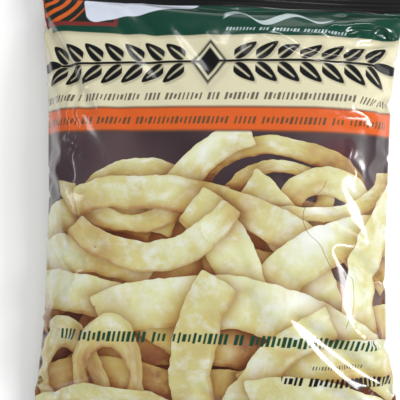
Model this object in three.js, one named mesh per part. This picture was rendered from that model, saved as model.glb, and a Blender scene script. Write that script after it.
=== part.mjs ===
// A filled pillow pouch for dry pasta and sauce mix, lying on its back.
// The film is one tube: a crimped seal closes each end, and a fin seal runs down the back,
// folded flat to one side.
// Millimetres. +X runs across the printed front, +Y towards the top seal, +Z out of the front.
// The origin is in the middle of the pouch, on the surface it lies on.

import * as THREE from 'three';

// The film and its seals
const filmWidth = 170;          // lay-flat width of the film tube
const filmGirth = 2 * filmWidth;
const sealDepth = 12;           // each end seal, along Y
const sealThickness = 0.8;
const packLength = 212;         // over both seals, once the pouch is full
const chamberHalf = packLength / 2 - sealDepth;
const sealRipple = 1.6;         // the end seals aren't quite flat: they ripple and droop
const sealRippleLength = 95;
const sealRippleStart = 0.7;    // share of the chamber's half length where the ripple begins
const sealDroop = 1.5;
const sealShift = 3;            // the pouch slouches: the top seal sits to the left, the bottom one right
const sealSkew = 2.5;           // and both run askew, further apart on the left than on the right

// The filled chamber
const fillHeight = 38;          // front above the table, at mid-length
const sideHeight = 17;          // widest line above the table, at mid-length
const sealHeight = 13;          // end seals above the table
const footDepth = 2.2;          // how much of the back's roundness the table flattens
const frontArch = 2.6;          // section exponents: 2 is an ellipse, more is squarer
const backArch = 3.6;
const frontEndArch = 2.4;       // the same, for the profiles along Y
const backEndArch = 4.5;
const endTaper = 1.5;           // how steeply the film leaves the end seals

const sideFade = 6;             // folds and lumps fade out over a sixth of the half width
const backFoldHeight = 3;       // and fade out on the back, where it nears the table

// Fin seal on the back: its free edge stands a step above the film around it
const finOffset = 16;           // free edge, from the middle of the back
const finStep = 0.5;
const finStepWidth = 1.5;

// Mesh steps
const acrossPieces = 42;
const chamberRows = 42;
const outlineSamples = 720;

function seededRandom(seed) {
  let state = seed;
  return () => {
    state = (state * 1664525 + 1013904223) % 4294967296;
    return state / 4294967296;
  };
}

const between = (random, low, high) => low + (high - low) * random();

// --- The smooth filled shape ---------------------------------------------------------------

// How full the pouch is at a place along Y: 1 in the middle, 0 at a seal
function fullness(along, arch) {
  return Math.pow(Math.max(0, 1 - Math.pow(Math.abs(along), arch)), 1 / endTaper);
}

function sectionAt(along) {
  const edge = sealThickness / 2;
  const side = sealHeight + (sideHeight - sealHeight) * fullness(along, 2);
  const rise = edge + (fillHeight - sideHeight - edge) * fullness(along, frontEndArch);
  const drop = edge + (side + footDepth - edge) * fullness(along, backEndArch);
  return { side, rise, drop };
}

// How far the end seals stand above or below their level, fading into the chamber
function sealLift(y, place) {
  const along = Math.min(1, Math.abs(y) / chamberHalf);
  const share = Math.max(0, along - sealRippleStart) / (1 - sealRippleStart);
  const outward = Math.max(0, Math.abs(y) - chamberHalf) / sealDepth;
  const phase = Math.sign(y) * (1 + (2 * Math.PI * place) / sealRippleLength);
  return share * share * sealRipple * Math.sin(phase) - sealDroop * outward;
}

// One turn of the section from the middle of the front, towards +X, round the back
function outline(section, halfWidth) {
  const points = [];
  for (let i = 0; i <= outlineSamples; i++) {
    const turn = (i / outlineSamples) * 2 * Math.PI;
    const across = Math.sin(turn);
    const up = Math.cos(turn);
    const arch = up >= 0 ? frontArch : backArch;
    const reach = up >= 0 ? section.rise : section.drop;
    const x = halfWidth * Math.sign(across) * Math.pow(Math.abs(across), 2 / arch);
    const z = section.side + reach * up;
    points.push(new THREE.Vector2(x, Math.max(0, z)));
  }
  return points;
}

function lengths(points) {
  const run = [0];
  for (let i = 1; i < points.length; i++) {
    run.push(run[i - 1] + points[i].distanceTo(points[i - 1]));
  }
  return run;
}

// The film can't stretch, so a fuller section is a narrower one
function fittedOutline(section) {
  let low = filmWidth / 4;
  let high = filmWidth / 2;
  for (let i = 0; i < 40; i++) {
    const middle = (low + high) / 2;
    const girth = lengths(outline(section, middle)).at(-1);
    if (girth > filmGirth) high = middle;
    else low = middle;
  }
  return outline(section, low);
}

// The point of an outline at a distance along the film
function pointAlong(points, run, distance) {
  const target = (distance / filmGirth) * run.at(-1);
  let i = 1;
  while (i < run.length - 1 && run[i] < target) i++;
  const share = (target - run[i - 1]) / (run[i] - run[i - 1] || 1);
  return points[i - 1].clone().lerp(points[i], Math.min(1, Math.max(0, share)));
}

// --- Folds and lumps -----------------------------------------------------------------------

// Pleats that run from each seal into the chamber, on the front and on the back
function makePleats() {
  const random = seededRandom(41);
  const pleats = [];
  for (const end of [1, -1]) {
    for (const face of [1, -1]) {
      const count = 8;
      for (let i = 0; i < count; i++) {
        const start = filmWidth * 0.9 * ((i + 0.5) / count - 0.5) + between(random, -5, 5);
        pleats.push({
          end,
          face,
          start,
          lean: -start * between(random, 0.003, 0.007),
          width: between(random, 3.5, 6),
          depth: between(random, 0.9, 2.2) * (random() < 0.3 ? -0.7 : 1),
          reach: between(random, 8, 15),
        });
      }
    }
  }
  return pleats;
}

const pleats = makePleats();

// Depth of all pleats at a place: distance in from the seal, and film position across
function pleatDepth(end, face, inward, across) {
  let depth = 0;
  for (const pleat of pleats) {
    if (pleat.end !== end || pleat.face !== face) continue;
    const middle = pleat.start + pleat.lean * inward;
    const offset = (across - middle) / pleat.width;
    const fade = (inward / pleat.reach) * Math.exp(1 - inward / pleat.reach);
    depth += pleat.depth * Math.exp(-offset * offset) * fade;
  }
  return depth;
}

// Where the pasta pushes the film out
function makeLumps() {
  const random = seededRandom(7);
  const lumps = [];
  for (let i = 0; i < 16; i++) {
    lumps.push({
      x: between(random, -0.38, 0.38) * filmWidth,
      y: between(random, -0.8, 0.8) * chamberHalf,
      size: between(random, 12, 22),
      height: between(random, -1.1, 1.2),
    });
  }
  return lumps;
}

const lumps = makeLumps();

function lumpHeight(x, y) {
  let height = 0;
  for (const lump of lumps) {
    const distance = Math.hypot(x - lump.x, y - lump.y) / lump.size;
    height += lump.height * Math.exp(-distance * distance);
  }
  return height;
}

// --- The film as a mesh --------------------------------------------------------------------

// Film places from the right side fold to the left one, the same on the front and the back.
// Three close ones carry the step at the fin seal's free edge.
function acrossPlaces() {
  const places = [];
  for (let i = 0; i <= acrossPieces; i++) places.push(filmWidth * (0.5 - i / acrossPieces));
  places.push(finOffset - finStepWidth, finOffset, finOffset + finStepWidth);
  return places.sort((a, b) => b - a);
}

const across = acrossPlaces();
const last = across.length - 1;

// How far the slouch moves a place of the film, along X and Y
function slouch(y, place) {
  const along = Math.max(-1, Math.min(1, y / chamberHalf));
  const askew = place / (filmWidth / 2);
  return { x: -sealShift * along, y: -sealSkew * askew * along * Math.abs(along) };
}

function filmPoint(y, section, points, run, place, front) {
  const along = Math.min(1, Math.abs(y) / chamberHalf);
  const inward = Math.max(0, chamberHalf - Math.abs(y));
  const halfWidth = Math.max(...points.map((p) => p.x));
  const distance = front ? (place + filmGirth) % filmGirth : filmWidth - place;
  const point = pointAlong(points, run, distance);
  const edge = Math.min(1, (1 - Math.abs(point.x) / halfWidth) * sideFade);
  const smoothEdge = edge * edge * (3 - 2 * edge);
  const fold = pleatDepth(Math.sign(y), front ? 1 : -1, inward, place) * smoothEdge;
  let z = point.y + sealLift(y, place);
  if (front) {
    z += lumpHeight(point.x, y) * smoothEdge * (1 - along * along) - fold;
  } else {
    z = Math.max(0, z + fold * Math.min(1, Math.max(0, z) / backFoldHeight));
    if (place === finOffset && inward > 0) z += finStep;
  }
  const moved = slouch(y, place);
  return new THREE.Vector3(point.x + moved.x, y + moved.y, z);
}

// One turn round the film: over the front from right to left, and back underneath
function ring(y) {
  const section = sectionAt(Math.min(1, Math.abs(y) / chamberHalf));
  const points = fittedOutline(section);
  const run = lengths(points);
  const over = across.map((place) => filmPoint(y, section, points, run, place, true));
  const under = across.map((place) => filmPoint(y, section, points, run, place, false));
  return [...over, ...under.slice(1, last).reverse()];
}

function rowPlaces() {
  const places = [-packLength / 2];
  for (let i = 0; i <= chamberRows; i++) {
    places.push(chamberHalf * Math.sin(Math.PI * (i / chamberRows - 0.5)));
  }
  places.push(packLength / 2);
  return places;
}

function pouchGeometry() {
  const rings = rowPlaces().map(ring);
  const size = 2 * last;
  const faces = [];
  const addQuad = (a, b, c, d) => faces.push([a, b, c], [a, c, d]);
  for (let row = 0; row + 1 < rings.length; row++) {
    for (let i = 0; i < size; i++) {
      const next = (i + 1) % size;
      const base = row * size;
      addQuad(base + i, base + size + i, base + size + next, base + next);
    }
  }
  for (let i = 0; i < last; i++) {
    const under = (size - i) % size;
    const nextUnder = size - i - 1;
    const top = (rings.length - 1) * size;
    addQuad(i, i + 1, nextUnder, under);
    addQuad(top + i, top + under, top + nextUnder, top + i + 1);
  }
  const geometry = new THREE.BufferGeometry();
  const corners = rings.flat().flatMap((p) => [p.x, p.y, p.z]);
  geometry.setAttribute('position', new THREE.Float32BufferAttribute(corners, 3));
  geometry.setIndex(faces.filter((face) => new Set(face).size === 3).flat());
  return geometry;
}

const printedFilm = new THREE.MeshStandardMaterial({
  color: 0xcdc6a4,
  roughness: 0.32,
  metalness: 0,
});

const group = new THREE.Group();
const pouch = new THREE.Mesh(pouchGeometry(), printedFilm);
pouch.name = 'pouch';
group.add(pouch);

export default group;
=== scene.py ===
import bpy
import math
import numpy as np
from collections import namedtuple
from functools import partialmethod
from types import SimpleNamespace
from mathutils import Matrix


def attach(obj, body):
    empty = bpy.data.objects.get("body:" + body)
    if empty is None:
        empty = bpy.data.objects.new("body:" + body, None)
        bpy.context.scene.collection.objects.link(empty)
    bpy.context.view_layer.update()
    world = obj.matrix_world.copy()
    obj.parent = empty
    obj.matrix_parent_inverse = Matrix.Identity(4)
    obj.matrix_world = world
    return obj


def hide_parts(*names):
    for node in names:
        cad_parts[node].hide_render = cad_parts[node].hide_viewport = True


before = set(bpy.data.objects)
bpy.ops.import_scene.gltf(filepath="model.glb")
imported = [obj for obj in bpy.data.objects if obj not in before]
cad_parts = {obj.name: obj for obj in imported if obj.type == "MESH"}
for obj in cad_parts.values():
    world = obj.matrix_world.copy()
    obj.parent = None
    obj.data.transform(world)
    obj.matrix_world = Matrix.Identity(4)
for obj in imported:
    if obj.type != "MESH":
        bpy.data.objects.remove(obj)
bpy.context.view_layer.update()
mm = 0.001
scene = bpy.context.scene

# mm on the flat sheet: across runs round the tube, along runs up the pack
film = dict(
    width=170,  # lay-flat width of the tube
    chamberLength=203,  # film between the two end seals
    sealDepth=12, sealThickness=0.6,
    aroundSteps=172,  # a multiple of four, so the side folds fall on a point
    alongSteps=104,
)
girth = 2 * film["width"]
quarter = girth / 4

# the filled pouch, as the solid has it
fill = dict(
    chamberHalf=94, fillHeight=38, sideHeight=17, sealHeight=13, footDepth=2.2, frontArch=2.6,
    backArch=3.6, frontEndArch=2.4, backEndArch=4.5, endTaper=1.5, sealRipple=1.6,
    sealRippleLength=95, sealRippleStart=0.7, sealDroop=1.5, sealShift=3, sealSkew=2.5,
)


def fullness(along, arch):
    return max(0, 1 - abs(along) ** arch) ** (1 / fill["endTaper"])


def sectionOutline(along, halfWidth, points=720):
    # one turn from the middle of the front, over the right side and back underneath
    edge = film["sealThickness"] / 2
    side = fill["sealHeight"] + (fill["sideHeight"] - fill["sealHeight"]) * fullness(along, 2)
    rise = edge + (fill["fillHeight"] - fill["sideHeight"] - edge) * fullness(along, fill["frontEndArch"])
    drop = edge + (side + fill["footDepth"] - edge) * fullness(along, fill["backEndArch"])
    turn = np.linspace(0, 2 * np.pi, points + 1)
    across, up = np.sin(turn), np.cos(turn)
    arch = np.where(up >= 0, fill["frontArch"], fill["backArch"])
    x = halfWidth * np.sign(across) * np.abs(across) ** (2 / arch)
    z = np.maximum(0, side + np.where(up >= 0, rise, drop) * up)
    return x, z


def runLength(x, z):
    return np.concatenate([[0], np.cumsum(np.hypot(np.diff(x), np.diff(z)))])


def fittedSection(along, places):
    # film doesn't stretch: the half width is whatever leaves the girth as it was
    low, high = quarter / 2, quarter
    for _ in range(30):
        halfWidth = (low + high) / 2
        x, z = sectionOutline(along, halfWidth)
        run = runLength(x, z)
        if run[-1] > girth:
            high = halfWidth
        else:
            low = halfWidth
    run *= girth / run[-1]
    return np.interp(places, run, x), np.interp(places, run, z)


places = np.arange(film["aroundSteps"]) * girth / film["aroundSteps"]  # round the ring, from mid-front
# the same across the flat tube, for front and back alike
acrossTube = np.where(places <= quarter, places,
                      np.where(places >= 3 * quarter, places - girth, 2 * quarter - places))


def smoothStep(value):
    value = np.clip(value, 0, 1)
    return value * value * (3 - 2 * value)


def flatSheet():
    # the sealed tube before it is filled, level with its seals
    onFront = (places <= quarter) | (places >= 3 * quarter)
    z = fill["sealHeight"] + np.where(onFront, 1, -1) * film["sealThickness"] / 2
    along = np.linspace(-0.5, 0.5, film["alongSteps"]) * film["chamberLength"]
    return np.array([np.stack([acrossTube, np.full_like(places, y), z], axis=1) for y in along])


def fullForm():
    # the sheet on the smooth filled form: the goal that the cloth is led to
    half = fill["chamberHalf"]
    stations = half * np.sin(np.linspace(-np.pi / 2, np.pi / 2, 400))
    crest = np.array([sectionOutline(y / half, 80)[1].max() for y in stations])
    run = runLength(stations, crest)
    askew = acrossTube / quarter
    rows = []
    for y in np.interp(np.linspace(0, run[-1], film["alongSteps"]), run, stations):
        along = np.clip(y / half, -1, 1)
        x, z = fittedSection(abs(along), places)
        share = max(0, abs(along) - fill["sealRippleStart"]) / (1 - fill["sealRippleStart"])
        wave = np.sign(y) * (1 + 2 * np.pi * acrossTube / fill["sealRippleLength"])
        z = z + fill["sealRipple"] * np.sin(wave) * share ** 2
        # the top seal sits to the left, the bottom one to the right, both askew
        x = x - fill["sealShift"] * along
        y = y - fill["sealSkew"] * askew * along * abs(along)
        rows.append(np.stack([x, y, np.maximum(0, z)], axis=1))
    return np.array(rows)


lumps = dict(seed=7, count=10, height=1.5, reach=(62, 75), size=(8, 20), push=(-0.6, 1), aboveSide=4)


def contentLumps(form):
    # dry pasta pushes the front out a little, more here than there
    rng = np.random.RandomState(lumps["seed"])
    push = np.zeros(form.shape[:2])
    for _ in range(lumps["count"]):
        x, y = (rng.uniform(-reach, reach) for reach in lumps["reach"])
        size = rng.uniform(*lumps["size"])
        far = ((form[..., 0] - x) ** 2 + (form[..., 1] - y) ** 2) / size ** 2
        push += rng.uniform(*lumps["push"]) * np.exp(-far)
    front = form[..., 2] > fill["sideHeight"] + lumps["aboveSide"]
    form[..., 2] += lumps["height"] * push * front
    return form


cloth = dict(
    scale=10,  # the solver likes things bigger than a pouch
    guideFrames=10,  # led from flat to full
    frames=34, guideStiffness=1.0,
    contentStiffness=0.005,  # what is left of the guide: the pasta behind the film
    guideWeight=0.5, pressure=100, seed=11, roughness=0.1,
    gap=0.004,  # to the table, at the solver's scale
    tableSkin=0.002, friction=20,
    easeFrom=66,  # mm from the middle: towards the seals the broad shape goes back
    easeShare=0.85,  # to the full form
    easeCurve=1.4, easeAround=40, easeAlong=3,
)
clothSettings = dict(
    quality=8, mass=0.006, air_damping=0.08, tension_stiffness=120, compression_stiffness=120,
    shear_stiffness=30, bending_stiffness=4.0, tension_damping=0.6, compression_damping=0.6,
    shear_damping=0.6, bending_damping=0.05, vertex_group_mass="held", use_pressure=True,
    uniform_pressure_force=0, use_pressure_volume=True,
)


def newObject(name, data):
    made = bpy.data.objects.new(name, data)
    scene.collection.objects.link(made)
    return made


def enclosedVolume(form):
    x, z = form[..., 0], form[..., 2]
    areas = 0.5 * np.abs((x * np.roll(z, -1, 1) - z * np.roll(x, -1, 1)).sum(axis=1))
    return float((0.5 * (areas[1:] + areas[:-1]) * np.diff(form[:, 0, 1])).sum())


def gridFaces(rows, around):
    columns = list(zip(range(around), [*range(1, around), 0]))
    return [(row + i, row + j, row + around + j, row + around + i)
            for row in range(0, (rows - 1) * around, around) for i, j in columns]


def simulateFilm(flat, full):
    # Blender's cloth: a flat sheet is led to the full form, then left to find its own folds
    rows, around = flat.shape[:2]
    k = mm * cloth["scale"]
    rng = np.random.RandomState(cloth["seed"])
    goal = full.copy()
    goal[1:-1, :, 2] = np.maximum(0, goal[1:-1, :, 2] + rng.randn(rows - 2, around) * cloth["roughness"])
    mesh = bpy.data.meshes.new("filmSheet")
    mesh.from_pydata((flat.reshape(-1, 3) * k).tolist(), [], gridFaces(rows, around))
    sheet = newObject("filmSheet", mesh)
    sheet.shape_key_add(name="flat")
    fullKey = sheet.shape_key_add(name="full")
    fullKey.data.foreach_set("co", (goal.reshape(-1) * k).astype(np.float32))
    held = sheet.vertex_groups.new(name="held")
    ends = list(range(around)) + list(range((rows - 1) * around, rows * around))
    held.add(list(range(around, (rows - 1) * around)), cloth["guideWeight"], "REPLACE")
    held.add(ends, 1.0, "REPLACE")

    bpy.ops.mesh.primitive_plane_add(size=10, location=(0, 0, -cloth["gap"]))
    table = bpy.context.object
    table.modifiers.new("table", "COLLISION")
    table.collision.thickness_outer = cloth["tableSkin"]
    table.collision.cloth_friction = cloth["friction"]

    modifier = sheet.modifiers.new("cloth", "CLOTH")
    settings = modifier.settings
    for name, value in clothSettings.items():
        setattr(settings, name, value)
    settings.target_volume = enclosedVolume(full) * k ** 3
    settings.effector_weights.gravity = 0
    modifier.collision_settings.collision_quality = 2
    modifier.collision_settings.distance_min = cloth["gap"]
    modifier.collision_settings.use_self_collision = False

    guided = cloth["guideFrames"]
    keys = {"pin_stiffness": [(1, cloth["guideStiffness"]), (guided + 2, cloth["guideStiffness"]),
                              (guided + 6, cloth["contentStiffness"])],
            "pressure_factor": [(1, 0), (guided, 0), (guided + 2, cloth["pressure"])]}
    for name, steps in keys.items():
        for frameNumber, value in steps:
            setattr(settings, name, value)
            sheet.keyframe_insert(f'modifiers["cloth"].settings.{name}', frame=frameNumber)
    for frameNumber, value in ((1, 0), (guided, 1)):
        fullKey.value = value
        fullKey.keyframe_insert("value", frame=frameNumber)
    for frameNumber in range(1, cloth["frames"] + 1):
        scene.frame_set(frameNumber)
    result = sheet.evaluated_get(bpy.context.evaluated_depsgraph_get())
    co = np.zeros(rows * around * 3, np.float32)
    result.data.vertices.foreach_get("co", co)
    form = co.reshape(rows, around, 3).astype(float) / k
    for thing in (sheet, table):
        bpy.data.objects.remove(thing)
    scene.frame_set(1)
    return form


def easeEnds(form, full):
    # the cloth balloons at the end seals: only its small folds are kept there
    gap = full - form
    for _ in range(cloth["easeAround"]):
        gap = (np.roll(gap, 1, 1) + 2 * gap + np.roll(gap, -1, 1)) / 4
    for _ in range(cloth["easeAlong"]):
        gap[1:-1] = (gap[:-2] + 2 * gap[1:-1] + gap[2:]) / 4
    half = film["chamberLength"] / 2
    along = np.abs(np.linspace(-half, half, len(form)))
    share = (along - cloth["easeFrom"]) / (half - cloth["easeFrom"])
    share = cloth["easeShare"] * smoothStep(share * cloth["easeCurve"])
    return form + gap * share[:, None, None]


flat = flatSheet()
full = contentLumps(fullForm())
form = easeEnds(simulateFilm(flat, full), full)
print("film form", form.min(axis=(0, 1)).round(1), form.max(axis=(0, 1)).round(1))

fineRing = 2 * film["aroundSteps"]
fineStep = girth / fineRing  # mm between points round the finished film


def doubled(grid, closed):
    # twice the points along the first axis, the new ones on a smooth curve
    if closed:
        around = np.concatenate([grid[-1:], grid, grid[:2]])
    else:
        around = np.concatenate([2 * grid[:1] - grid[1:2], grid, 2 * grid[-1:] - grid[-2:-1]])
    middle = (9 * (around[1:-2] + around[2:-1]) - around[:-3] - around[3:]) / 16
    fine = np.empty((len(grid) + len(middle), *grid.shape[1:]))
    fine[::2], fine[1::2] = grid, middle
    return fine


def gridNormals(grid):
    round_ = np.roll(grid, -1, 1) - np.roll(grid, 1, 1)
    normal = np.cross(round_, np.gradient(grid, axis=0))
    return normal / np.maximum(np.linalg.norm(normal, axis=2, keepdims=True), 1e-9)


# handling creases, in film mm: start (across, along), end, half width, height
creases = [
    ((-66, 64), (-64, 27), 1.5, 0.55),
    ((-58.5, 62), (-60, 22), 1.2, 0.5),
    ((-66, 31), (-52, 22), 1.3, 0.6),
    ((-30, 90), (-22, 78), 1.4, 0.25),
    ((-4, 84), (5, 62), 3.0, 0.5),
    ((12, 78), (20, 58), 4.5, 0.5),
    ((30, 96), (46, 90), 1.6, 0.4),
    ((57, 78), (60, 66), 2.0, 0.45),
    ((14, -8), (21, -42), 3.2, -0.6),
    ((62, 30), (66, 8), 1.6, 0.5),
]
creaseWander = dict(reach=1.6, length=13, beat=0.37)  # mm, mm and a slower second wave
creaseFade = 0.3  # share of a crease's length, at each end


def creasePush(across, along):
    push = np.zeros(np.broadcast_shapes(across.shape, along.shape))
    turn = 2 * np.pi / creaseWander["length"]
    beat = np.sin(creaseWander["beat"] * along * turn + 1)
    across = across + creaseWander["reach"] * np.sin(along * turn) * beat
    for start, end, width, height in creases:
        start, end = np.array(start, float), np.array(end, float)
        way = end - start
        share = ((across - start[0]) * way[0] + (along - start[1]) * way[1]) / (way @ way)
        nearX, nearY = (start[i] + np.clip(share, 0, 1) * way[i] for i in (0, 1))
        far = np.hypot(across - nearX, along - nearY) / width
        fade = smoothStep(share / creaseFade + 0.5) * smoothStep((1 - share) / creaseFade + 0.5)
        push += height * np.exp(-far ** 2) * fade
    return push


seal = dict(
    steps=26, crimpPitch=2.0, crimpHeight=0.17,
    crimpFade=1.5,  # the crimps die away this near to either edge
    toothDepth=0.55,  # the cut edge is zigzag, a tooth every two columns
    toothPower=12,  # how late the zigzag sets in
)

fin = dict(
    root=4,  # across the back, where the two film edges meet
    edge=16,  # free edge of the fin seal
    lift=0.7,  # the film rides up over it
    rampIn=3,  # over this much film, before the root
    rampOut=2,  # and past the free edge
    fade=8,  # towards the end seals
    gap=0.1, thickness=0.3, leastThickness=0.15, offTable=0.03, crimpPitch=1.6, crimpHeight=0.05,
)


# columns of points round the ring, from mid-front, and their film places; the tube's seam is at the fin
column = np.arange(fineRing)
seam = int(round((film["width"] - fin["root"]) / fineStep))
finePlaces = np.where(column < seam, column, column - fineRing) * fineStep


def sealRows(endRow, end):
    # both layers of an end seal, pressed flat and crimped, out to the zigzag cut
    rows, depths = [], np.linspace(0, film["sealDepth"], seal["steps"] + 1)[1:]
    tooth = np.where(column % 2, -1, 1) * seal["toothDepth"]
    for depth in depths:
        share = depth / film["sealDepth"]
        toCut = (film["sealDepth"] - depth) / seal["crimpFade"]
        pressed = smoothStep(depth / seal["crimpFade"]) * smoothStep(toCut)
        row = endRow.copy()
        row[:, 1] += end * (depth + tooth * share ** seal["toothPower"])
        row[:, 2] -= fill["sealDroop"] * share
        row[:, 2] += seal["crimpHeight"] * pressed * math.sin(2 * math.pi * depth / seal["crimpPitch"])
        rows.append(row)
    return np.array(rows), depths


def filmGrid(form):
    # the finished film: twice as fine as the cloth, with creases, the fin's step and both end seals
    chamber = doubled(form, closed=False)
    chamber = np.swapaxes(doubled(np.swapaxes(chamber, 0, 1), closed=True), 0, 1)
    half = film["chamberLength"] / 2
    along = np.linspace(-0.5, 0.5, len(chamber)) * film["chamberLength"]
    chamber += gridNormals(chamber) * creasePush(finePlaces[None, :], along[:, None])[..., None]
    across = film["width"] - column * fineStep  # on the back only
    onFin = smoothStep((across - fin["root"] + fin["rampIn"]) / fin["rampIn"])
    onFin = onFin * smoothStep((fin["edge"] + fin["rampOut"] - across) / fin["rampOut"])
    inChamber = smoothStep((half - np.abs(along)) / fin["fade"])
    chamber[..., 2] += fin["lift"] * onFin[None, :] * inChamber[:, None]
    chamber[..., 2] = np.maximum(0, chamber[..., 2])
    bottom, depths = sealRows(chamber[0], -1)
    top, _ = sealRows(chamber[-1], 1)
    grid = np.concatenate([bottom[::-1], chamber, top])
    return grid, np.concatenate([-half - depths[::-1], along, half + depths])


def capFaces(base, outward):
    # closes the cut edge of a seal, front layer to back layer
    half = fineRing // 2
    faces = []
    for i in range(-half // 2, half // 2):
        loop = [v % fineRing for v in (i, i + 1, half - i - 1, half - i)]
        loop = loop if outward else loop[:1] + loop[:0:-1]
        faces.append([base + v for v in dict.fromkeys(loop)])
    return faces


def makeMesh(name, points, faces):
    mesh = bpy.data.meshes.new(name)
    mesh.from_pydata((np.asarray(points).reshape(-1, 3) * mm).tolist(), [], faces)
    mesh.update()
    mesh.polygons.foreach_set("use_smooth", [True] * len(mesh.polygons))
    return newObject(name, mesh)


def layFilmMap(mesh, spans):
    # spans: for each face corner, the film place in mm; stored in metres
    layer = mesh.uv_layers.new(name="film")
    layer.data.foreach_set("uv", (np.asarray(spans, float) * mm).reshape(-1).astype(np.float32))


def makePouch(form):
    grid, along = filmGrid(form)
    rows = len(grid)
    caps = capFaces(0, False) + capFaces((rows - 1) * fineRing, True)
    pouch = makeMesh("pouchFilm", grid, gridFaces(rows, fineRing) + caps)
    left = np.tile(finePlaces, rows - 1)
    right = left + fineStep
    low, high = np.repeat(along[:-1], fineRing), np.repeat(along[1:], fineRing)
    corners = [np.stack(pair, 1) for pair in ((left, low), (right, low), (right, high), (left, high))]
    wallSpans = np.stack(corners, 1).reshape(-1, 2)
    capSpans = [(finePlaces[v % fineRing], along[v // fineRing]) for face in caps for v in face]
    layFilmMap(pouch.data, np.concatenate([wallSpans, np.array(capSpans)]))
    return pouch, grid, along


def makeFin(grid, along):
    # the fin seal: a flat strip of doubled film under the back, from its root to its free edge
    first = int(round((film["width"] - fin["edge"]) / fineStep))
    upper = grid[:, first:seam + 1].copy()
    upper[..., 2] -= fin["gap"]
    lower = upper.copy()
    crimp = fin["crimpHeight"] * np.sin(2 * np.pi * along / fin["crimpPitch"])
    lower[..., 2] -= fin["thickness"] + crimp[:, None]
    lower[..., 2] = np.maximum(fin["offTable"], lower[..., 2])
    upper[..., 2] = np.maximum(lower[..., 2] + fin["leastThickness"], upper[..., 2])
    rows, across = upper.shape[:2]
    size = 2 * across
    faces = [face[::-1] for face in gridFaces(rows, size)]
    for base, forward in ((0, True), ((rows - 1) * size, False)):
        for i in range(across - 1):
            loop = [base + i, base + i + 1, base + size - 2 - i, base + size - 1 - i]
            faces.append(loop if forward else loop[::-1])
    strip = makeMesh("finSeal", np.concatenate([upper, lower[:, ::-1]], axis=1), faces)
    place = (first + np.arange(across)) * fineStep
    place = np.concatenate([place, place[::-1]])
    layFilmMap(strip.data, [(place[v % size], along[v // size]) for face in faces for v in face])
    return strip


pouch, grid, along = makePouch(form)
finSeal = makeFin(grid, along)
print("film mesh", len(pouch.data.polygons), "faces, fin", len(finSeal.data.polygons))


socketType = bpy.types.NodeSocket


class Bench:
    # wires one node tree; a value may be a number, a tuple or another node's output
    def __init__(self, tree):
        self.tree = tree

    def node(self, kind, inputs=(), **settings):
        made = self.tree.nodes.new(kind)
        for name, value in settings.items():
            setattr(made, name, value)
        for key, value in (inputs.items() if isinstance(inputs, dict) else enumerate(inputs)):
            if isinstance(value, socketType):
                self.tree.links.new(value, made.inputs[key])
            elif value is not None:
                made.inputs[key].default_value = value
        return made

    def math(self, operation, *values):
        return self.node("ShaderNodeMath", values, operation=operation).outputs[0]

    plus = partialmethod(math, "ADD")
    minus = partialmethod(math, "SUBTRACT")
    times = partialmethod(math, "MULTIPLY")
    over = partialmethod(math, "DIVIDE")
    timesPlus = partialmethod(math, "MULTIPLY_ADD")
    absolute = partialmethod(math, "ABSOLUTE")
    larger = partialmethod(math, "MAXIMUM")
    below = partialmethod(math, "LESS_THAN")
    above = partialmethod(math, "GREATER_THAN")

    def vector(self, operation, *values):
        made = self.node("ShaderNodeVectorMath", values, operation=operation)
        return made.outputs["Value" if operation in ("LENGTH", "DOT_PRODUCT") else "Vector"]

    apart = partialmethod(vector, "SUBTRACT")
    scaled = partialmethod(vector, "MULTIPLY")

    def step(self, value, low, high, start=0.0, end=1.0):
        # from start to end between low and high
        if isinstance(low, socketType) or isinstance(high, socketType):
            span = self.minus(high, low)
            share = self.over(self.minus(value, low), span)
        else:
            share = self.timesPlus(value, 1 / (high - low), -low / (high - low))
        # not the Clamp option: Cycles works such nodes out last and runs out of shader stack
        share = self.larger(self.math("MINIMUM", share, 1.0), 0.0)
        if (start, end) == (0, 1):
            return share
        return self.timesPlus(share, end - start, start)

    def fade(self, value, low, high):
        return self.step(value, low, high, 1.0, 0.0)

    def edge(self, value, place, soft, start=0.0, end=1.0):
        return self.step(value, place - soft, place + soft, start, end)

    def mix(self, factor, under, over, blend="MIX"):
        made = self.node("ShaderNodeMix", {0: factor, 6: under, 7: over}, data_type="RGBA")
        made.blend_type = blend
        return made.outputs[2]

    def noise(self, point, scale, detail=2.0, roughness=0.5, output="Fac"):
        inputs = {"Vector": point, "Scale": scale, "Detail": detail, "Roughness": roughness}
        return self.node("ShaderNodeTexNoise", inputs).outputs[output]

    def ramp(self, value, stops):
        # stops: place, then its colour, as for ink
        made = self.node("ShaderNodeValToRGB", [value])
        elements = made.color_ramp.elements
        while len(elements) < len(stops):
            elements.new(1)
        for element, (place, *shade) in zip(elements, stops):
            element.position, element.color = place, ink(*shade)
        return made.outputs[0]

    def group(self, name, **inputs):
        # a node group's results, one or more
        results = list(self.node("ShaderNodeGroup", inputs, node_tree=groups[name]).outputs)
        return results[0] if len(results) == 1 else results

    def give(self, *results):
        for socket, value in zip(self.out, results):
            self.tree.links.new(value, socket)
        return self.tree

    def surface(self, **inputs):
        inputs = {label.replace("_", " "): value for label, value in inputs.items()}
        shader = self.node("ShaderNodeBsdfPrincipled", inputs)
        self.node("ShaderNodeOutputMaterial", [shader.outputs[0]])

    def combine(self, x, y, z=0.0):
        return self.node("ShaderNodeCombineXYZ", [x, y, z]).outputs[0]

    def turned(self, vector, angle):
        inputs = {"Vector": vector, "Angle": angle}
        return self.node("ShaderNodeVectorRotate", inputs, rotation_type="Z_AXIS").outputs[0]

    def axis(self, vector, number):
        # a dot product: a Separate XYZ with an idle output keeps its place on Cycles' shader stack
        return self.vector("DOT_PRODUCT", vector, tuple(float(number == i) for i in range(3)))

    def split(self, vector):
        return self.axis(vector, 0), self.axis(vector, 1)


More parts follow.
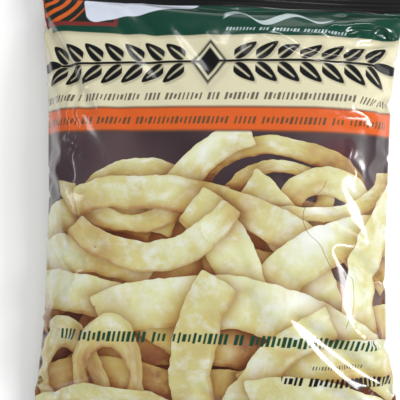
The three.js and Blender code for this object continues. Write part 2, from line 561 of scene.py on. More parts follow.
def newGroup(name, results={"mask": "Float"}, **inputs):
    # results: name -> kind; an input's default is a number, a tuple or, for a vector that is always
    # linked, None. Returns the bench, and the inputs by name
    tree = bpy.data.node_groups.new(name, "ShaderNodeTree")
    for label, value in inputs.items():
        kind = "Float" if isinstance(value, float) else "Vector"
        socket = tree.interface.new_socket(label, in_out="INPUT", socket_type="NodeSocket" + kind)
        if value is not None:
            socket.default_value = value
    for label, kind in results.items():
        tree.interface.new_socket(label, in_out="OUTPUT", socket_type="NodeSocket" + kind)
    bench = Bench(tree)
    entry = bench.node("NodeGroupInput").outputs
    bench.out = bench.node("NodeGroupOutput").inputs
    return bench, SimpleNamespace(**{label: entry[label] for label in inputs})


def ink(red, green, blue):
    # 0-255 screen colour -> linear
    return tuple((c / 255 / 12.92) if c <= 10 else ((c / 255 + 0.055) / 1.055) ** 2.4
                 for c in (red, green, blue)) + (1.0,)


def buildPatch():
    # a rounded rectangle with soft edges
    b, at = newGroup("printPatch", point=None, centre=None, half=(10, 5, 0), corner=1.0, soft=0.2)
    away = b.vector("ABSOLUTE", b.apart(at.point, at.centre))
    past = b.apart(away, at.half)
    corner = b.combine(at.corner, at.corner)
    past = b.vector("MAXIMUM", b.vector("ADD", past, corner), (0.0, 0.0, 0.0))
    flat = b.scaled(past, (1.0, 1.0, 0.0))
    edge = b.minus(b.vector("LENGTH", flat), at.corner)
    low = b.times(at.soft, -1.0)
    return b.give(b.fade(edge, low, at.soft))


dash = dict(
    lean=0.25,
    printed=0.87,  # share of the places that hold a bar
    short=0.25,  # share of the bars that are shorter
    shortBy=0.14,  # of the height, at each end
    widthVaries=0.2,  # of the pitch
    soft=0.08,  # of the pitch
    endSoft=(0.2, 0.15),  # mm, inwards and outwards
)


def buildDashes():
    # a row of leaning bars in runs with gaps, where a line of words would be
    b, at = newGroup("dashRow", point=None, centre=None, half=40.0, height=3.0, pitch=2.2, share=0.62,
                     bow=0.0, seed=0.0)
    x, y = b.split(b.apart(at.point, at.centre))
    y = b.timesPlus(b.times(x, x), at.bow, y)
    place = b.over(b.timesPlus(y, -dash["lean"], x), at.pitch)
    cell = b.plus(b.math("FLOOR", place), at.seed)
    draw = b.node("ShaderNodeTexWhiteNoise", {"W": cell}, noise_dimensions="1D")
    breadth, short = b.split(draw.outputs["Color"])
    printed = b.below(draw.outputs["Value"], dash["printed"])
    middle = b.absolute(b.minus(b.math("FRACT", place), 0.5))
    varied = b.timesPlus(breadth, dash["widthVaries"], -dash["widthVaries"] / 2)
    share = b.timesPlus(at.share, 0.5, varied)
    stroke = b.fade(middle, b.minus(share, dash["soft"]), b.plus(share, dash["soft"]))
    halfShare = b.timesPlus(b.below(short, dash["short"]), -dash["shortBy"], 0.5)
    half = b.times(at.height, halfShare)
    inner, outer = dash["endSoft"]
    tall = b.fade(b.absolute(y), b.minus(half, inner), b.plus(half, outer))
    ends = b.below(b.absolute(x), at.half)
    return b.give(b.times(b.times(stroke, printed), b.times(tall, ends)))


# film mm, from the middle of the ornament
wheat = dict(
    firstGrain=11.0, grainLean=math.radians(40),
    grainRise=5.6,  # off the stem
    grainHalf=(6.2, 2.75),  # half length and half width
    grainTaper=0.2,
    grooveFrom=(0.35, 0.6),  # shares of the half length where the groove closes
    stemHalf=(0.55, 0.6),  # inner and outer edge
    stemEnd=(78.0, 79.0), tip=80.0, tipHalf=(7.5, 2.4), diamondHalf=(8.2, 11.0),
    ring=0.74,  # share of the diamond where its pale line runs
    ringHalf=(0.03, 0.06),
    soft=0.09, shadowShift=(-0.9, 0.9, 0.0), shadowSoft=0.45, shadowInk=0.6,
)


def buildWheat():
    # two ears of wheat, mirrored about the middle: paired pointed grains along a stem
    b, at = newGroup("wheatEars", point=None, centre=None, pitch=9.6, grains=7.0, soft=0.05)
    x, y = b.split(b.vector("ABSOLUTE", b.apart(at.point, at.centre)))
    cell = b.over(b.minus(x, wheat["firstGrain"]), at.pitch)
    inRow = b.times(b.above(cell, 0.0), b.below(cell, at.grains))
    local = b.times(b.minus(b.math("FRACT", cell), 0.5), at.pitch)
    cos, sin = math.cos(wheat["grainLean"]), math.sin(wheat["grainLean"])
    up = b.minus(y, wheat["grainRise"])
    lengthwise = b.plus(b.times(local, cos), b.times(up, sin))
    sideways = b.minus(b.times(up, cos), b.times(local, sin))
    halfLength, halfWidth = wheat["grainHalf"]
    plump = b.timesPlus(lengthwise, -wheat["grainTaper"], halfWidth)
    across = b.over(sideways, plump)
    along = b.over(lengthwise, halfLength)
    size = b.plus(b.times(across, across), b.times(along, along))
    soft = at.soft

    def within(size, inner=1.0, outer=1.0):
        return b.fade(size, b.minus(inner, soft), b.plus(outer, soft))

    grain = within(size)
    groove = b.step(b.absolute(across), 0.0, b.timesPlus(soft, 1.5, 0.1))
    groove = b.larger(groove, b.step(along, *wheat["grooveFrom"]))
    grain = b.times(b.times(grain, groove), inRow)
    stem = within(y, *wheat["stemHalf"])
    stem = b.times(stem, b.fade(x, *wheat["stemEnd"]))
    tipX = b.over(b.minus(x, wheat["tip"]), wheat["tipHalf"][0])
    tipY = b.over(y, wheat["tipHalf"][1])
    tip = within(b.plus(b.times(tipX, tipX), b.times(tipY, tipY)))
    diamond = b.plus(b.over(x, wheat["diamondHalf"][0]), b.over(y, wheat["diamondHalf"][1]))
    lozenge = within(diamond)
    ring = b.absolute(b.minus(diamond, wheat["ring"]))
    inner, outer = wheat["ringHalf"]
    lozenge = b.times(lozenge, b.step(ring, inner, b.plus(outer, soft)))
    return b.give(b.larger(b.larger(grain, stem), b.larger(tip, lozenge)))


# what all printed noodles share, in film mm
ribbon = dict(
    waves=2.2,  # swelling and narrowing round a bend
    rounding=2.5,  # of the corners
    shadowReach=7.5,  # on the noodles below
    shadowCurve=1.6, shadowDepth=0.52, edgeWidth=1.1, edgeLight=0.92,
)


def buildRibbon():
    # one noodle of the printed heap, a bent strip over those below it. Place is where the topmost one is
    # met: mm along it, -1 to 1 across it, and how light it is. Shade is the light left between noodles
    b, at = newGroup(
        "noodleRibbon", {"place": "Vector", "shade": "Float"}, place=None, shade=1.0, point=None,
        centre=None, turn=0.0, stretch=(1, 1, 1), radius=30.0, half=7.0, sweep=1.0, twist=0.1, light=0.5,
        side=1.0, bend=0.1, seed=0.0)
    away = b.apart(at.point, at.centre)
    spread = b.scaled(b.turned(away, at.turn), at.stretch)
    reach = b.vector("LENGTH", spread)
    x, y = b.split(spread)
    angle = b.math("ARCTAN2", x, y)
    across = b.minus(reach, at.radius)
    wave = b.math("COSINE", b.times(angle, ribbon["waves"]))
    breadth = b.times(at.half, b.timesPlus(wave, at.twist, 1.0))
    toSide = b.minus(breadth, b.absolute(across))
    left = b.minus(at.sweep, b.absolute(angle))
    inside = b.math("SMOOTH_MIN", toSide, b.times(left, at.radius), ribbon["rounding"])
    mask = b.above(inside, 0.0)
    profile = b.times(b.over(across, breadth), at.side)
    light = b.timesPlus(wave, at.bend, at.light)
    along = b.timesPlus(angle, at.radius, at.seed)
    place = b.node("ShaderNodeMix", {0: mask, 4: at.place, 5: b.combine(along, profile, light)},
                   data_type="VECTOR").outputs[1]
    near = b.math("POWER", b.step(inside, -ribbon["shadowReach"], 0.0), ribbon["shadowCurve"])
    under = b.times(at.shade, b.timesPlus(near, -ribbon["shadowDepth"], 1.0))
    own = b.step(inside, 0.0, ribbon["edgeWidth"], ribbon["edgeLight"], 1.0)
    return b.give(place, b.timesPlus(mask, b.minus(own, under), under))


# noise scales are per mm of film
wrinkle = dict(
    softScale=0.05, creaseScale=0.09, creaseBendScale=0.08, creaseWidth=0.12, brokenScale=0.035,
    broken=(0.52, 0.7), fineScale=0.6, hazeScale=0.04,
)


def buildWrinkles():
    # crinkle height of laminated film, in mm: broad soft waves, short sharp creases and a fine haze
    b, at = newGroup("filmWrinkles", {"height": "Float", "haze": "Float"}, point=None, soft=0.25,
                     sharp=0.1, fine=0.02)
    point = at.point
    soft = b.noise(point, wrinkle["softScale"])
    bent = b.vector("ADD", b.vector("SCALE", point, None, None, wrinkle["creaseScale"]),
                    b.noise(point, wrinkle["creaseBendScale"], 1.0, output="Color"))
    cells = b.node("ShaderNodeTexVoronoi", {"Vector": bent, "Scale": 1.0}, feature="DISTANCE_TO_EDGE")
    sharp = b.fade(cells.outputs["Distance"], 0.0, wrinkle["creaseWidth"])
    sharp = b.times(sharp, b.step(b.noise(point, wrinkle["brokenScale"], 1.0), *wrinkle["broken"]))
    fine = b.noise(point, wrinkle["fineScale"], 3.0, 0.6)
    height = b.times(soft, at.soft)
    height = b.timesPlus(sharp, at.sharp, height)
    height = b.timesPlus(fine, at.fine, height)
    return b.give(height, b.noise(point, wrinkle["hazeScale"], 3.0))


groups = dict(patch=buildPatch(), dashes=buildDashes(), wheat=buildWheat(), ribbon=buildRibbon(),
              wrinkles=buildWrinkles())


def patch(b, point, centre, half, corner, soft):
    # all in film mm; corner is the radius
    return b.group("patch", point=point, centre=(*centre, 0), half=(*half, 0), corner=corner, soft=soft)


inks = dict(
    black=ink(15, 15, 17), deepGreen=ink(8, 60, 44), cream=ink(200, 194, 163),
    orange=ink(198, 86, 30), lineBrown=ink(96, 62, 44), wordGreen=ink(22, 62, 44),
    wordBrown=ink(50, 42, 38), frameRed=ink(112, 40, 36), ringOrange=ink(196, 88, 30),
    ringDark=ink(24, 34, 30), paleBlue=ink(200, 206, 218), silver=ink(176, 190, 190),
    maroon=ink(84, 34, 40), highlightPink=ink(226, 204, 198), white=ink(238, 237, 230),
    shadow=ink(132, 124, 100),
)

# film mm: where each field of the front print ends, from the top seal down
front = dict(
    darkFrom=100.2, greenFrom=79.4,
    greenLeft=-80.0,  # the green band stops just short of the left fold
    greenBow=2.6, greenShadow=2.2, creamFrom=44.3, orangeFrom=33.7, titleLine=65.5,
    edge=0.25,  # softness of the printed edges
    line=(0.3, 0.9),  # the brown line along the orange band: inner and outer edge
    lineInk=0.7,
    foldHighlight=((-84.6, 92.5), (1.3, 7), 1.2, 0.3),  # painted highlight: a pale patch at the left fold
)


def bandLine(b, y, place):
    return b.step(b.absolute(b.minus(y, place)), *front["line"], front["lineInk"], 0.0)


def paintBands(b, at):
    # green band with a soft shadow under it, cream field, orange band
    x, y = at.x, at.y
    side = b.over(x, quarter)
    bowed = b.timesPlus(b.times(side, side), -front["greenBow"], y)
    onGreen = b.edge(x, front["greenLeft"], 0.4)
    greenFrom, creamFrom = front["greenFrom"], front["creamFrom"]
    under = b.times(b.step(bowed, greenFrom - front["greenShadow"], greenFrom, 0.0, 0.5), onGreen)
    colour = b.mix(under, inks["cream"], inks["shadow"])
    green = b.times(b.edge(bowed, greenFrom, front["edge"]), onGreen)
    colour = b.mix(green, colour, inks["deepGreen"])
    line = bandLine(b, y, creamFrom)
    colour = b.mix(b.edge(y, creamFrom, 0.2, 1.0, 0.0), colour, inks["orange"])
    return b.mix(line, colour, inks["lineBrown"])


# the printed heap, back to front: middle (film mm), lean (degrees), bend radius, half width, length,
# light; then flattening of the bend, which side is lit, and how light and width vary along it
Noodle = namedtuple("Noodle", "x y lean radius half length light flat side bend twist",
                    defaults=(1, 1, 0.1, 0.08))
heap = [
    # backs of the heap, dull and brown
    (-58, -12, 12, 60, 9, 80, 0.2), (58, -10, -18, 70, 10, 76, 0.24), (0, -4, 3, 90, 11, 120, 0.14),
    (-62, -36, 24, 80, 9, 70, 0.22), (-20, -32, 24, 60, 10, 80, 0.16), (44, -34, -26, 80, 10, 90, 0.2),
    (-10, -60, 4, 90, 9, 150, 0.18), (62, -56, 24, 70, 9, 70, 0.26), (24, -84, -10, 90, 10, 130, 0.2),
    (-56, -78, 10, 70, 8, 90, 0.2),
    # loops that stand out of the top
    (34, 27, -5, 36, 6.5, 124, 0.34, 0.62, 1, 0.14), (30, 18, 6, 21, 4.2, 90, 0.4, 0.62),
    (-34, 17, 8, 24, 5.5, 104, 0.42, 0.7), (-66, -5, 18, 60, 8, 90, 0.5),
    (64, 10, -34, 19, 6, 84, 0.56, 0.9), (-6, 16, 48, 70, 7.5, 62, 0.62, 1, 1, 0.1, -0.14),
    (-42, -6, 168, 27, 6, 74, 0.54, 0.6, -1), (42, -18, -60, 110, 8, 76, 0.62, 1, 1, 0.1, 0.14),
    (46, -2, 186, 40, 7, 120, 0.6, 0.42, -1),
    # broad ribbons across the middle
    (-4, 5, -10, 130, 6.8, 112, 0.6, 1, 1, -0.1), (-70, -22, 10, 70, 8, 96, 0.6),
    (54, -15, 24, 70, 9, 66, 0.58), (72, -22, 72, 70, 9, 92, 0.66, 1, 1, 0.1, -0.14),
    (14, -22, -66, 60, 8.5, 64, 0.6, 1, 1, 0.1, 0.2), (-22, -21, 186, 46, 6, 84, 0.52, 1, -1),
    (-60, -39, -6, 100, 8.5, 110, 0.62), (26, -43, -12, 120, 10.5, 150, 0.68, 1, 1, 0.1, 0.14),
    # hanging loops and falling ribbons low down
    (-66, -58, 4, 15, 4.4, 90, 0.46, 1.7), (-42, -56, -8, 13, 4, 84, 0.42, 1.8),
    (-6, -66, 82, 90, 8.5, 76, 0.54, 1, 1, 0.1, 0.16), (60, -66, 8, 110, 8.5, 92, 0.5),
    (24, -74, 54, 80, 8.5, 84, 0.54, 1, 1, 0.1, -0.14), (-52, -93, 6, 60, 8, 96, 0.46),
    (66, -90, -22, 80, 9.5, 96, 0.46),
]


def layHeap(b, wavy):
    # the topmost noodle at each place, and how much light gets down to it
    place, shade = (0.0, 0.0, -1.0), 1.0
    for number, row in enumerate(heap):
        noodle = Noodle(*row)
        lean, drop = math.radians(noodle.lean), noodle.radius * noodle.flat
        place, shade = b.group(
            "ribbon", place=place, shade=shade, point=wavy,
            centre=(noodle.x + drop * math.sin(lean), noodle.y - drop * math.cos(lean), 0),
            turn=-lean, stretch=(1, 1 / noodle.flat, 1), radius=noodle.radius, half=noodle.half,
            sweep=noodle.length / 2 / noodle.radius, light=noodle.light, side=noodle.side,
            bend=noodle.bend, twist=noodle.twist, seed=160.0 * number)
    return place, shade


pasta = dict(
    tones=[(0, 130, 84, 60), (0.2, 159, 122, 78), (0.38, 177, 157, 100), (0.58, 188, 182, 126),
           (0.8, 200, 201, 158), (1, 217, 219, 206)],
    broad=0.9,  # light and shade over the whole heap
    fold=0.9,  # soft folds
    foldGrain=(0.055, 0.45, 0.0),  # noise scales: per mm along, per half width across, per step of light
    streak=0.25, streakGrain=(0.07, 1.5, 0.0),
    side=0.12,  # one side catches more light
    cup=0.7, cupFrom=0.42,
    cutSide=0.14, cutEdge=(-0.78, -0.6), cutRough=0.3,  # the duller cut side, and where it ends
    patchGrain=(0.13, 0.95, 1.0),
    # patches: noise from and to, then ink from and to; and the light that they need
    yellowStep=(0.5, 0.68, 0.0, 0.5), milkStep=(0.48, 0.7, 0.0, 0.75), milkLit=(0.2, 0.55),
    glowStep=(0.52, 0.7, 0.0, 0.8), glowLit=(0.5, 0.75), yellow=ink(192, 177, 104), milk=ink(206, 209, 200),
    glow=ink(214, 214, 214), speck=ink(70, 56, 40), speckStretch=(1.0, 7.0, 0.0), speckScale=0.06,
    speckSize=0.028, speckShare=0.22, speckInk=0.6,
)


def paintNoodles(b, place, broad):
    # cooked pasta: soft folds along it, a duller cut side, milky patches and yellow ones
    across, light = b.axis(place, 1), b.axis(place, 2)

    def grain(name, *detail, **output):
        return b.noise(b.scaled(place, pasta[name]), 1.0, *detail, **output)

    def varied(noise, amount, light):
        return b.timesPlus(b.minus(noise, 0.5), amount, light)

    fold = grain("foldGrain")
    lit = varied(fold, pasta["fold"], varied(broad, pasta["broad"], light))
    streak = grain("streakGrain", 3.0, 0.6)
    lit = varied(streak, pasta["streak"], lit)
    lit = b.timesPlus(across, pasta["side"], lit)
    cup = b.times(b.minus(fold, pasta["cupFrom"]), b.times(across, across))
    lit = b.timesPlus(cup, -pasta["cup"], lit)
    rough = b.timesPlus(streak, pasta["cutRough"], across)
    cut = b.step(rough, *pasta["cutEdge"], -pasta["cutSide"], 0.0)
    lit = b.plus(lit, cut)
    colour = b.ramp(lit, pasta["tones"])
    patches = grain("patchGrain", 4.0, 0.62, output="Color")
    milky, yellow, glow = (b.axis(patches, number) for number in range(3))
    milky = b.times(b.step(milky, *pasta["milkStep"]), b.step(lit, *pasta["milkLit"]))
    colour = b.mix(b.step(yellow, *pasta["yellowStep"]), colour, pasta["yellow"])
    colour = b.mix(milky, colour, pasta["milk"])
    glow = b.times(b.step(glow, *pasta["glowStep"]), b.step(lit, *pasta["glowLit"]))
    colour = b.mix(glow, colour, pasta["glow"])
    spots = b.scaled(place, pasta["speckStretch"])
    cells = b.node("ShaderNodeTexVoronoi", {"Vector": spots, "Scale": pasta["speckScale"]}).outputs
    speck = b.times(b.below(cells["Distance"], pasta["speckSize"]),
                    b.below(b.axis(cells["Color"], 0), pasta["speckShare"]))
    return b.mix(b.times(speck, pasta["speckInk"]), colour, pasta["speck"])


picture = dict(
    # noises: scale, detail, roughness
    waverNoise=(0.045, 3.0, 0.55), mottle=(0.075, 3.0), broadLight=(0.03, 1.0), backNoise=(0.022, 1.0),
    waver=(7.0, 7.0, 0.0),  # mm that the noodles' outlines shift by
    backdrop=[(0.3, 46, 33, 36), (0.55, 66, 51, 55), (0.75, 86, 68, 70)],
    blur=(58.0, 26.0, 0.0), blurStretch=(1.0, 1.3, 0.0),  # a reddish blur, far behind
    blurFade=(2.0, 11.0, 0.7, 0.0),  # mm from and to, then ink from and to
    crest=4.0,  # the heap's height in the middle, and how it falls to the sides
    crestBow=-0.0019, crestFade=(-5.0, 3.0), depths=[(0.35, 84, 50, 40), (0.65, 140, 98, 62)],
    shadows=[(0, 98, 60, 54), (0.3, 172, 131, 106), (0.65, 228, 211, 184), (1, 255, 255, 255)],
)


def paintHeap(b, at):
    # a dark, blurred backdrop with the heap of noodles in front
    point, x, y = at
    shift = b.apart(b.noise(point, *picture["waverNoise"], output="Color"), (0.5, 0.5, 0.5))
    wavy = b.vector("ADD", point, b.scaled(shift, picture["waver"]))
    place, shade = layHeap(b, wavy)
    mottle = b.noise(point, *picture["mottle"])
    noodles = paintNoodles(b, place, b.noise(point, *picture["broadLight"]))
    backdrop = b.ramp(b.noise(point, *picture["backNoise"]), picture["backdrop"])
    blur = b.scaled(b.apart(point, picture["blur"]), picture["blurStretch"])
    blur = b.step(b.vector("LENGTH", blur), *picture["blurFade"])
    backdrop = b.mix(blur, backdrop, inks["maroon"])
    crest = b.timesPlus(b.times(x, x), picture["crestBow"], picture["crest"])
    inHeap = b.fade(b.minus(y, crest), *picture["crestFade"])
    depths = b.ramp(mottle, picture["depths"])
    onNoodle = b.above(b.axis(place, 2), -0.5)
    colour = b.mix(onNoodle, b.mix(inHeap, backdrop, depths), noodles)
    lit = b.larger(shade, b.minus(1.0, b.larger(inHeap, onNoodle)))
    return b.mix(1.0, colour, b.ramp(lit, picture["shadows"]), "MULTIPLY")


# film mm: middle, half size, corner radius and softness of each field
stamp = dict(
    frame=((-64.3, 96.0), (19.3, 12.0), 0.5, 0.2), square=((-64.6, 97.0), (17.6, 10.9), 0.4, 0.2),
    rings=(-83.0, 103.0, 0.0), ringStep=2.6, ringEdge=(1.2, 1.7), ringsEnd=(23.0, 0.5),
    bannerAt=(-35.3, 100.9, 0.0), bannerTurn=math.radians(-15.2), banner=((0, 0), (27.5, 9.2), 5.5, 0.25),
)


def paintCorner(b, point, colour):
    # top left: a dark square with orange rings in a red frame, and a bare pale banner across its corner
    colour = b.mix(patch(b, point, *stamp["frame"]), colour, inks["frameRed"])
    inner = patch(b, point, *stamp["square"])
    away = b.vector("LENGTH", b.scaled(b.apart(point, stamp["rings"]), (1, 1, 0)))
    rings = b.step(b.math("PINGPONG", away, stamp["ringStep"]), *stamp["ringEdge"])
    rings = b.times(rings, b.edge(away, *stamp["ringsEnd"], 1.0, 0.0))
    colour = b.mix(inner, colour, b.mix(rings, inks["ringDark"], inks["ringOrange"]))
    turned = b.turned(b.apart(point, stamp["bannerAt"]), stamp["bannerTurn"])
    return b.mix(patch(b, turned, *stamp["banner"]), colour, inks["paleBlue"])


swash = dict(
    start=(4, 91, 0.0), length=50, turn=0.25, rise=4.4, fall=2.2, thin=0.45, thick=1.6, taper=12,
    soft=(0.2, 0.15), endSoft=(1.5, 1),
    row=dict(centre=(33, 83, 0), half=27, height=2, pitch=1.5, share=0.6, seed=11), rowInk=0.85,
)


def paintFlourish(b, point, colour):
    # right of the banner: a silver wave, thick and thin, over a row of small dashes
    x, y = b.split(b.apart(point, swash["start"]))
    end = swash["length"]
    turn = b.times(x, swash["turn"])
    height = b.step(x, 0.0, end, swash["rise"], swash["fall"])
    curve = b.times(b.math("SINE", turn), height)
    thick = b.timesPlus(b.math("COSINE", turn), swash["thick"] - swash["thin"], swash["thick"])
    thick = b.times(thick, b.step(x, end, end - swash["taper"]))
    far = b.absolute(b.minus(y, curve))
    inner, outer = swash["soft"]
    mask = b.fade(far, b.minus(thick, inner), b.plus(thick, outer))
    first, last = swash["endSoft"]
    mask = b.times(mask, b.times(b.step(x, 0.0, first), b.step(x, end, end - last)))
    colour = b.mix(mask, colour, inks["silver"])
    row = b.group("dashes", point=point, **swash["row"])
    return b.mix(b.times(row, swash["rowInk"]), colour, inks["silver"])


# each row of dashes, its ink and how much of it
wordRows = [
    (dict(centre=(0, 49.2, 0), half=84, height=3.3, pitch=1.9, share=0.56, seed=3), "wordBrown", 0.85),
    (dict(centre=(-2, 38.4, 0), half=83, height=3.3, pitch=2, share=0.56, seed=31), "wordGreen", 0.8),
    (dict(centre=(4, -57.3, 0), half=74, height=5, pitch=2.3, share=0.62, seed=71, bow=0.0004),
     "wordGreen", 1),
    (dict(centre=(58.5, -69.2, 0), half=12, height=1.9, pitch=1.3, share=0.5, seed=90), "wordBrown", 0.8),
    (dict(centre=(58.5, -76.2, 0), half=25, height=4.4, pitch=2.2, share=0.66, seed=123), "black", 1),
]


def paintWords(b, point, colour):
    for row, name, amount in wordRows:
        mask = b.group("dashes", point=point, **row)
        if amount < 1:
            mask = b.times(mask, amount)
        colour = b.mix(mask, colour, inks[name])
    return colour


def paintWheat(b, point, colour):
    # the dark ornament in the cream field, over its own soft shadow
    centre = (0, front["titleLine"], 0)
    shifted = b.vector("ADD", point, wheat["shadowShift"])
    shadow = b.group("wheat", point=shifted, centre=centre, soft=wheat["shadowSoft"])
    colour = b.mix(b.times(shadow, wheat["shadowInk"]), colour, inks["shadow"])
    ears = b.group("wheat", point=point, centre=centre, soft=wheat["soft"])
    return b.mix(ears, colour, inks["black"])


# a fine dark line that wanders down the front, as points (along, across) in film mm
hairline = dict(
    points=[(14, 52.7), (4.5, 46.7), (-2.5, 42.7), (-7.5, 43.7), (-15, 50.2), (-23, 54.2), (-26.5, 57.7),
            (-29.5, 64.6), (-33.5, 65.1), (-42, 65.1), (-51.4, 61.6)],
    along=(-55.0, 16.0),  # span of the curve below, wider than the points
    across=(40.0, 68.0), middle=-18.7, halfLength=32.0, halfWidth=0.17, ink=0.68,
)


def hairlineMask(b, at):
    # a Float Curve gives the line's place across for each place along
    (low, high), (left, right) = hairline["along"], hairline["across"]
    curve = b.node("ShaderNodeFloatCurve", {"Factor": 1.0, "Value": b.step(at.y, low, high)})
    line = curve.mapping.curves[0]
    spots = sorted(((along - low) / (high - low), (across - left) / (right - left))
                   for along, across in hairline["points"])
    spots = [(0.0, spots[0][1]), *spots, (1.0, spots[-1][1])]
    while len(line.points) < len(spots):
        line.points.new(0.5, 0.5)
    for point, spot in zip(line.points, spots):
        point.location = spot
    curve.mapping.update()
    far = b.absolute(b.minus(at.x, b.timesPlus(curve.outputs[0], right - left, left)))
    halfWidth = hairline["halfWidth"]
    mask = b.step(far, halfWidth * 0.5, halfWidth * 1.5, hairline["ink"], 0.0)
    toMiddle = b.absolute(b.plus(at.y, -hairline["middle"]))
    return b.times(mask, b.edge(toMiddle, hairline["halfLength"], 1.0, 1.0, 0.0))


def paintFront(b, at):
    point, y = at.point, at.y
    colour = paintWheat(b, point, paintBands(b, at))
    colour = paintFlourish(b, point, paintCorner(b, point, colour))
    # painted highlight: a pale patch at the left fold
    colour = b.mix(patch(b, point, *front["foldHighlight"]), colour, inks["highlightPink"])
    inPicture = b.edge(y, front["orangeFrom"], front["edge"], 1.0, 0.0)
    colour = b.mix(inPicture, colour, paintHeap(b, at))
    colour = b.mix(bandLine(b, y, front["orangeFrom"]), colour, inks["lineBrown"])
    colour = paintWords(b, point, colour)
    return b.mix(hairlineMask(b, at), colour, inks["lineBrown"])


# film mm on the back, from its middle; patches as above
back = dict(
    begins=88,  # the front print runs a little way round the side folds
    orangeLine=76.5, orangeHalf=2.2, block=((-34, 4), (28, 52), 0.2, 0.1),
    row=dict(half=900, height=1.4, pitch=1.2, share=0.5), rowStep=3.6, rowInk=0.75,
    rowShift=3.7,  # so that no two rows are alike
    table=((38, 8), (20, 48)), tableEdge=(0.3, 0.15), tableLine=0.7, ruleStep=4.8, ruleEdge=(0.15, 0.3),
)


def paintBack(b, at):
    # plain: a green band, an orange line, a block of dash rows and a ruled table
    across = b.timesPlus(b.math("SIGN", at.x), float(film["width"]), b.times(at.x, -1.0))
    point = b.combine(across, at.y)
    line = b.absolute(b.minus(at.y, back["orangeLine"]))
    colour = b.mix(b.edge(line, back["orangeHalf"], 0.2, 1.0, 0.0), inks["cream"], inks["orange"])
    colour = b.mix(b.edge(at.y, front["greenFrom"], front["edge"]), colour, inks["deepGreen"])
    inLine = b.math("WRAP", at.y, back["rowStep"] / 2, -back["rowStep"] / 2)
    shifted = b.plus(across, b.times(b.minus(at.y, inLine), back["rowShift"]))
    rows = b.group("dashes", point=b.combine(shifted, inLine), **back["row"])
    inBlock = patch(b, point, *back["block"])
    colour = b.mix(b.times(b.times(rows, inBlock), back["rowInk"]), colour, inks["wordBrown"])
    centre, half = back["table"]
    colour = b.mix(patch(b, point, centre, half, *back["tableEdge"]), colour, inks["black"])
    inner = patch(b, point, centre, [v - back["tableLine"] for v in half], *back["tableEdge"])
    rule = b.absolute(b.math("WRAP", at.y, back["ruleStep"] / 2, -back["ruleStep"] / 2))
    ruled = b.mix(b.fade(rule, *back["ruleEdge"]), inks["white"], inks["black"])
    return b.mix(inner, colour, ruled)


def paintFilm(b, at):
    behind = b.edge(b.absolute(at.x), back["begins"], 0.2)
    colour = b.mix(behind, paintFront(b, at), paintBack(b, at))
    return b.mix(b.edge(b.absolute(at.y), front["darkFrom"], 0.3), colour, inks["black"])


FilmPlace = namedtuple("FilmPlace", "point x y")


def filmPlace(b):
    # the film map, in mm; split only here, because Cycles joins like nodes and then runs out of stack
    uv = b.node("ShaderNodeUVMap", uv_map="film").outputs[0]
    point = b.node("ShaderNodeVectorMath", {0: uv, "Scale": 1 / mm}, operation="SCALE").outputs[0]
    return FilmPlace(point, *b.split(point))


def emptied(thing):
    # a material or a world without nodes, and its bench
    thing.use_nodes = True
    thing.node_tree.nodes.clear()
    return thing, Bench(thing.node_tree)


gloss = dict(
    specular=0.3,
    haze=(0.35, 0.7), roughness=(0.28, 0.42),  # from clear to hazy film
    coat=0.85, coatRoughness=0.12,
    sealFade=2, sealCoat=0.1,  # the pressed seals are duller
    sealRoughness=0.18,  # added there
    wrinkles=dict(soft=0.35, sharp=0.12, fine=0.02),  # mm
)


def finishFilm(b, colour, at):
    height, haze = b.group("wrinkles", point=at.point, **gloss["wrinkles"])
    bump = b.node("ShaderNodeBump", {"Height": height, "Distance": mm, "Strength": 1.0})
    roughness = b.step(haze, *gloss["haze"], *gloss["roughness"])
    pressed = b.step(b.absolute(at.y), front["darkFrom"], front["darkFrom"] + gloss["sealFade"])
    roughness = b.timesPlus(pressed, gloss["sealRoughness"], roughness)
    coat = b.timesPlus(pressed, gloss["sealCoat"] - gloss["coat"], gloss["coat"])
    b.surface(Base_Color=colour, Roughness=roughness, Specular_IOR_Level=gloss["specular"],
              Coat_Weight=coat, Coat_Roughness=gloss["coatRoughness"], Normal=bump.outputs[0])


def printedFilm():
    material, b = emptied(bpy.data.materials.new("printedFilm"))
    at = filmPlace(b)
    finishFilm(b, paintFilm(b, at), at)
    return material


ground = dict(half=9000, grain=6.0, shades=(ink(236, 235, 232), ink(242, 241, 239)), roughness=0.75)


def makeFloor():
    half = ground["half"]
    corners = [(-half, -half, 0), (half, -half, 0), (half, half, 0), (-half, half, 0)]
    made = makeMesh("floor", corners, [(0, 1, 2, 3)])
    material, b = emptied(bpy.data.materials.new("paleFloor"))
    place = b.node("ShaderNodeTexCoord").outputs["Object"]
    colour = b.mix(b.noise(place, ground["grain"], 3.0), *ground["shades"])
    b.surface(Base_Color=colour, Roughness=ground["roughness"])
    made.data.materials.append(material)
    return made


filmMaterial = printedFilm()
for piece in (pouch, finSeal):
    piece.data.materials.append(filmMaterial)
floor = makeFloor()
print("materials made")

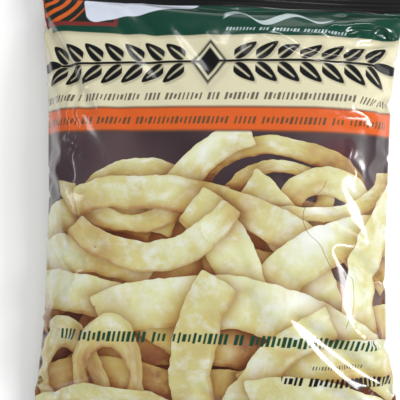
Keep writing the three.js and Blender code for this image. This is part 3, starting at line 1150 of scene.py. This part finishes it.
view = dict(
    place=(59.3, 2.6, 399.8),  # mm
    turn=(0.7, 9.64, 2.91),  # degrees: looks down, from a little to the right
    lens=76.6,
)


def placeCamera():
    camera = newObject("camera", bpy.data.cameras.new("camera"))
    camera.data.lens = view["lens"]
    camera.data.clip_start = 0.01
    camera.location = [v * mm for v in view["place"]]
    camera.rotation_euler = [math.radians(v) for v in view["turn"]]
    scene.camera = camera


Lamp = namedtuple("Lamp", "name place size power mirrored", defaults=(True,))
# the fills light the film but aren't mirrored in it
lamps = [
    Lamp("windowRight", (0.73, 0.02, 0.53), (0.2, 0.14), 3.2),
    Lamp("softKey", (0.67, -0.14, 0.67), (0.26, 0.22), 3.6),
    Lamp("stripLeft", (-0.76, 0.12, 0.56), (0.3, 0.06), 0.5),
    Lamp("stripTop", (0.2, 0.76, 0.5), (0.3, 0.1), 1.1),
    Lamp("spotTop", (-0.1, 0.78, 0.52), (0.12, 0.12), 0.3),
    Lamp("fillTop", (0.25, -0.1, 1.2), (1.0, 1.0), 3.8, False),
    Lamp("fillLeft", (-0.85, 0.0, 0.45), (0.5, 0.8), 1.6, False),
]
air = dict(colour=(0.92, 0.95, 1.0, 1.0), strength=0.45, mirrored=0.09)


def placeLamps():
    for lamp in lamps:
        data = bpy.data.lights.new(lamp.name, "AREA")
        data.shape = "RECTANGLE"
        data.size, data.size_y = lamp.size
        data.energy = lamp.power
        made = newObject(lamp.name, data)
        made.location = lamp.place
        made.rotation_euler = (-made.location).to_track_quat("-Z", "Y").to_euler()
        made.visible_glossy = lamp.mirrored


def fillAir():
    # an even studio light from all round, dimmer where the film mirrors it
    scene.world, b = emptied(bpy.data.worlds.new("studio"))
    mirrored = b.node("ShaderNodeLightPath").outputs["Is Glossy Ray"]
    strength = b.timesPlus(mirrored, air["mirrored"] - air["strength"], air["strength"])
    b.node("ShaderNodeOutputWorld", [b.node("ShaderNodeBackground", [air["colour"], strength]).outputs[0]])


placeCamera()
placeLamps()
fillAir()
scene.view_settings.view_transform = "Standard"

for piece in (pouch, finSeal):
    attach(piece, "root")
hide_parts("pouch")
